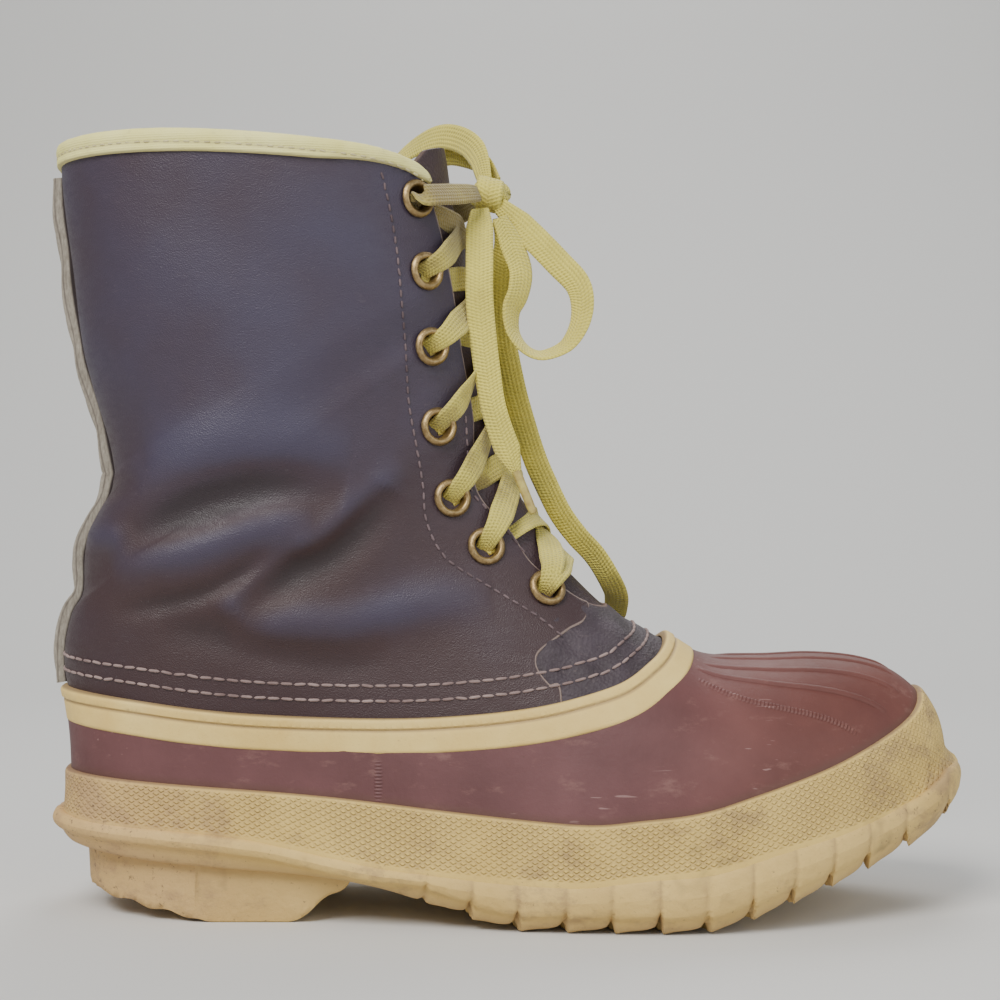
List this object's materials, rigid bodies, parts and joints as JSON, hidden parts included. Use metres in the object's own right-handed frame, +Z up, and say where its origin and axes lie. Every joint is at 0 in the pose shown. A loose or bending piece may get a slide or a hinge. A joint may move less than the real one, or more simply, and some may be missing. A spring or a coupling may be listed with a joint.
{
  "type": "pac boot",
  "caption": "Right-foot winter pac boot: lugged rubber foot with a textured strip, laced leather shaft, tongue, metal eyelets and a flat lace tied in a bow.",
  "frame": {"origin": "on the floor, under the middle of the boot's box without its free lace", "axes": "+X to the toe, +Y to the wearer's left (inner side of the foot), +Z up"},
  "size_m": [0.3042, 0.1086, 0.2615],
  "materials": {
    "outsole": "matte, moulded, worn and dirty",
    "foxing": "matte, moulded with a small diamond texture",
    "rubber": "satin red-brown rubber",
    "band": "satin tan rubber",
    "leather": "waxed dark brown leather with a soft sheen",
    "tongue": "soft dark brown leather",
    "binding": "cream woven tape",
    "seam": "raw leather edges",
    "insole": "felt",
    "eyelet": "dull rolled metal",
    "lace": "flat woven lace, fuzzy"
  },
  "bodies": {
    "root": {"outsole": "outsole", "foxing": "foxing", "rubber_shell": "rubber", "top_band": "band", "quarters": "leather", "vamp": "leather", "tongue": "tongue", "insole": "insole", "collar_binding": "binding", "back_seam": "seam", "lace_crossings": "lace", "eyelet_outer_1": "eyelet", "eyelet_outer_2": "eyelet", "eyelet_outer_3": "eyelet", "eyelet_outer_4": "eyelet", "eyelet_outer_5": "eyelet", "eyelet_outer_6": "eyelet", "eyelet_outer_7": "eyelet", "eyelet_inner_1": "eyelet", "eyelet_inner_2": "eyelet", "eyelet_inner_3": "eyelet", "eyelet_inner_4": "eyelet", "eyelet_inner_5": "eyelet", "eyelet_inner_6": "eyelet", "eyelet_inner_7": "eyelet", "lace_knot": "lace", "lace_loop_outer": "lace", "lace_loop_inner": "lace", "lace_end_inner": "lace", "lace_end_outer": "lace", "lace_tip_inner": "lace", "lace_tip_outer": "lace"}
  },
  "joints": []
}
